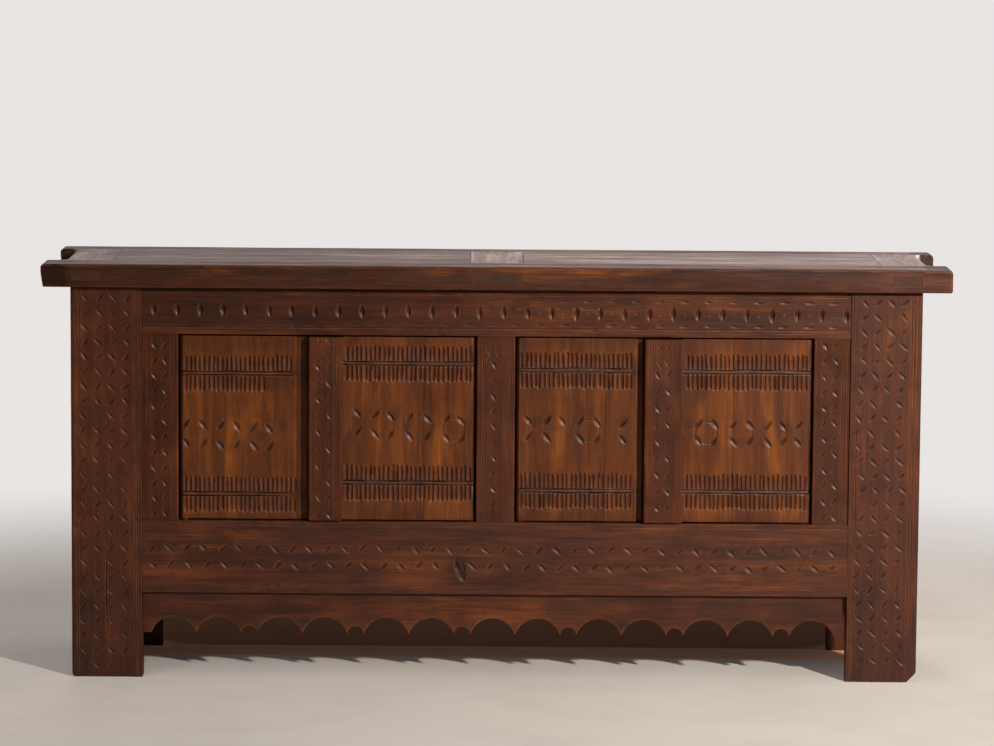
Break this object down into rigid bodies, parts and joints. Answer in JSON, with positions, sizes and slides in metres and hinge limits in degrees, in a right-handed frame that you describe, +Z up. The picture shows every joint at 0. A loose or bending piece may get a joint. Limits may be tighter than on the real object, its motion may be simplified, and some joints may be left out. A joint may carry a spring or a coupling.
{
  "type": "carved buffet cabinet",
  "caption": "Long low wooden buffet cabinet with carved plank legs and rails, pivot-hung double doors, a scalloped apron and a framed top with projecting horns.",
  "frame": {"origin": "on the floor, under the middle of the top", "axes": "+X along the length to the right as seen from the front, +Y to the back, +Z up"},
  "size_m": [1.994, 0.43, 0.919],
  "materials": {
    "frame_wood": "waxed, satin",
    "door_wood": "waxed, satin",
    "top_wood": "worn wax",
    "inner_wood": "bare, dry",
    "peg_wood": "waxed end grain",
    "nail_iron": "blackened, worn"
  },
  "bodies": {
    "carcass": {"front_left_leg": "frame_wood", "front_right_leg": "frame_wood", "rear_left_leg": "frame_wood", "rear_right_leg": "frame_wood", "frieze_rail": "frame_wood", "lower_rail": "frame_wood", "apron": "frame_wood", "left_outer_stile": "frame_wood", "right_outer_stile": "frame_wood", "middle_stile": "frame_wood", "left_side_upper_rail": "frame_wood", "left_side_lower_rail": "frame_wood", "right_side_upper_rail": "frame_wood", "right_side_lower_rail": "frame_wood", "left_side_upper_board": "frame_wood", "left_side_lower_board": "frame_wood", "right_side_upper_board": "frame_wood", "right_side_lower_board": "frame_wood", "back_upper_rail": "inner_wood", "back_lower_rail": "inner_wood", "back_stile": "inner_wood", "back_left_upper_board": "inner_wood", "back_left_lower_board": "inner_wood", "back_right_upper_board": "inner_wood", "back_right_lower_board": "inner_wood", "floor_left_bearer": "inner_wood", "floor_right_bearer": "inner_wood", "floor_middle_bearer": "inner_wood", "floor_front_board": "inner_wood", "floor_rear_board": "inner_wood", "top_front_rail": "top_wood", "top_rear_rail": "top_wood", "top_left_cleat": "top_wood", "top_right_cleat": "top_wood", "top_middle_rail": "top_wood", "top_left_front_board": "top_wood", "top_left_rear_board": "top_wood", "top_right_front_board": "top_wood", "top_right_rear_board": "top_wood", "frame_pegs": "peg_wood", "top_pegs": "peg_wood"},
    "door_1": {"door_1_hinge_board": "door_wood", "door_1_meeting_board": "door_wood", "door_1_battens": "inner_wood", "door_1_nails": "nail_iron"},
    "door_2": {"door_2_hinge_board": "door_wood", "door_2_meeting_board": "door_wood", "door_2_battens": "inner_wood", "door_2_nails": "nail_iron", "door_2_astragal": "frame_wood"},
    "door_3": {"door_3_hinge_board": "door_wood", "door_3_meeting_board": "door_wood", "door_3_battens": "inner_wood", "door_3_nails": "nail_iron"},
    "door_4": {"door_4_hinge_board": "door_wood", "door_4_meeting_board": "door_wood", "door_4_battens": "inner_wood", "door_4_nails": "nail_iron", "door_4_astragal": "frame_wood"}
  },
  "joints": [
    {"name": "door_1_pivot", "type": "hinge", "parent": "carcass", "child": "door_1", "pos_m": [-0.684, -0.171, 0.351], "axis": [0, 0, -1], "range_deg": [0, 95]},
    {"name": "door_2_pivot", "type": "hinge", "parent": "carcass", "child": "door_2", "pos_m": [-0.056, -0.171, 0.351], "axis": [0, 0, 1], "range_deg": [0, 95]},
    {"name": "door_3_pivot", "type": "hinge", "parent": "carcass", "child": "door_3", "pos_m": [0.056, -0.171, 0.351], "axis": [0, 0, -1], "range_deg": [0, 95]},
    {"name": "door_4_pivot", "type": "hinge", "parent": "carcass", "child": "door_4", "pos_m": [0.684, -0.171, 0.351], "axis": [0, 0, 1], "range_deg": [0, 95]}
  ]
}
